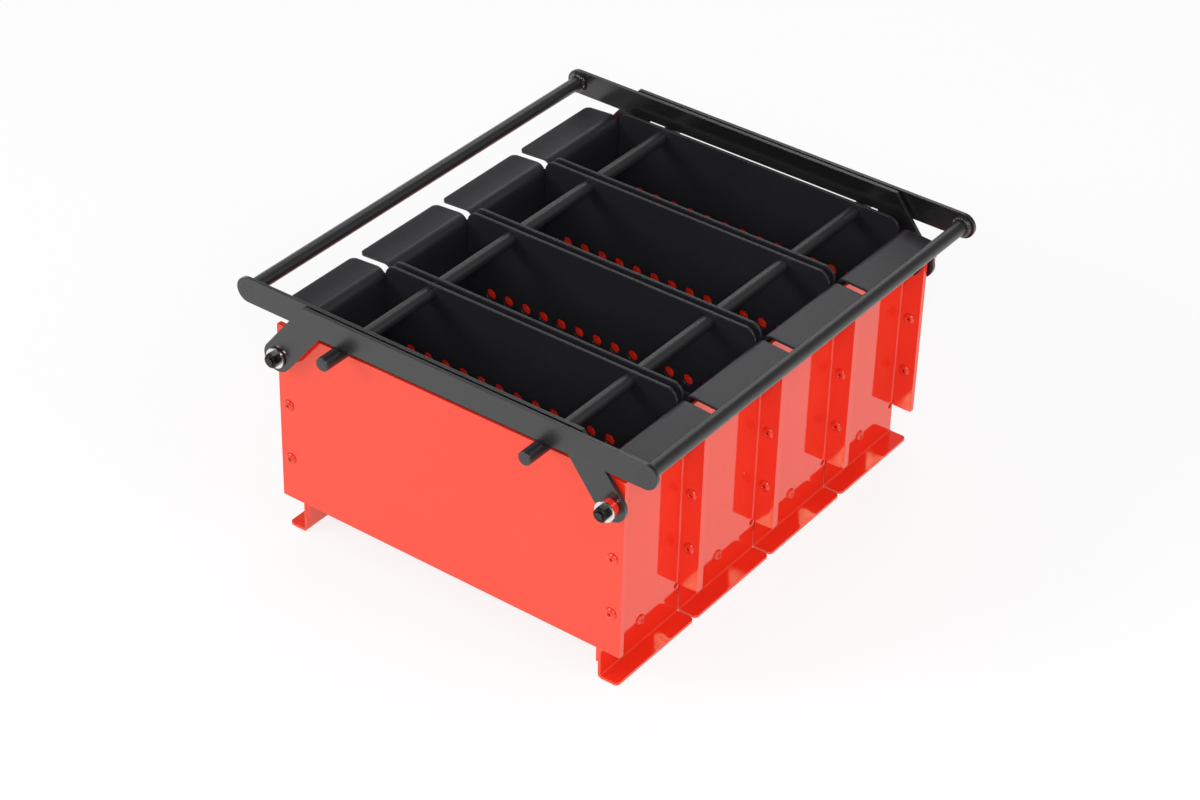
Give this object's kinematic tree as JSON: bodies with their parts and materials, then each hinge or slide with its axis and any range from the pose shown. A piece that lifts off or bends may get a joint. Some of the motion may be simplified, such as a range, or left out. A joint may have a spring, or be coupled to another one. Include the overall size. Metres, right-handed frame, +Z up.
{
  "type": "paper briquette maker",
  "caption": "Sheet-metal hand press for paper briquettes: open moulds side by side, trays on rods that push into them, and crossed levers on side pivots.",
  "frame": {"origin": "on the floor under the centre of the whole press, levers closed", "axes": "+X to the right along the moulds, +Y to the back across the bays, +Z up"},
  "size_m": [0.37, 0.434, 0.2089],
  "materials": {
    "red_coat": "gloss powder coat",
    "black_coat": "satin powder coat",
    "black_steel": "black oxide",
    "bolt_steel": "dark oiled steel",
    "zinc_washer": "bright zinc plate"
  },
  "bodies": {
    "frame": {"front_wall": "red_coat", "partition_wall_1": "red_coat", "partition_wall_2": "red_coat", "partition_wall_3": "red_coat", "back_wall": "red_coat", "right_end_panel_1": "red_coat", "right_end_panel_2": "red_coat", "right_end_panel_3": "red_coat", "right_end_panel_4": "red_coat", "left_end_panel_1": "red_coat", "left_end_panel_2": "red_coat", "left_end_panel_3": "red_coat", "left_end_panel_4": "red_coat", "mould_floor_1": "red_coat", "mould_floor_2": "red_coat", "mould_floor_3": "red_coat", "mould_floor_4": "red_coat", "wall_rivets_right": "red_coat", "wall_rivets_left": "red_coat", "floor_rivets": "red_coat", "pivot_bosses": "red_coat", "pivot_bolts": "bolt_steel", "pivot_washers": "zinc_washer", "pivot_nuts": "black_steel"},
    "press": {"press_tray_1": "black_coat", "press_tray_2": "black_coat", "press_tray_3": "black_coat", "press_tray_4": "black_coat", "press_rod_left": "black_coat", "press_rod_right": "black_coat"},
    "outer_lever": {"outer_lever_front_arm": "black_coat", "outer_lever_back_arm": "black_coat", "outer_lever_bar": "black_coat"},
    "inner_lever": {"inner_lever_front_arm": "black_coat", "inner_lever_back_arm": "black_coat", "inner_lever_bar": "black_coat"}
  },
  "joints": [
    {"name": "outer_lever_pivot", "type": "hinge", "parent": "frame", "child": "outer_lever", "pos_m": [-0.145, 0, 0.1575], "axis": [0, -1, 0], "range_deg": [0, 112.5]},
    {"name": "inner_lever_pivot", "type": "hinge", "parent": "frame", "child": "inner_lever", "pos_m": [0.145, 0, 0.1575], "axis": [0, 1, 0], "range_deg": [0, 90]},
    {"name": "press_lift", "type": "slide", "parent": "frame", "child": "press", "axis": [0, 0, 1], "range_m": [0, 0.0786]}
  ],
  "couplings": [
    {"joint": "inner_lever_pivot", "follows": "outer_lever_pivot", "ratio": 0.8},
    {"joint": "press_lift", "follows": "outer_lever_pivot", "m_per_rad": 0.04}
  ]
}
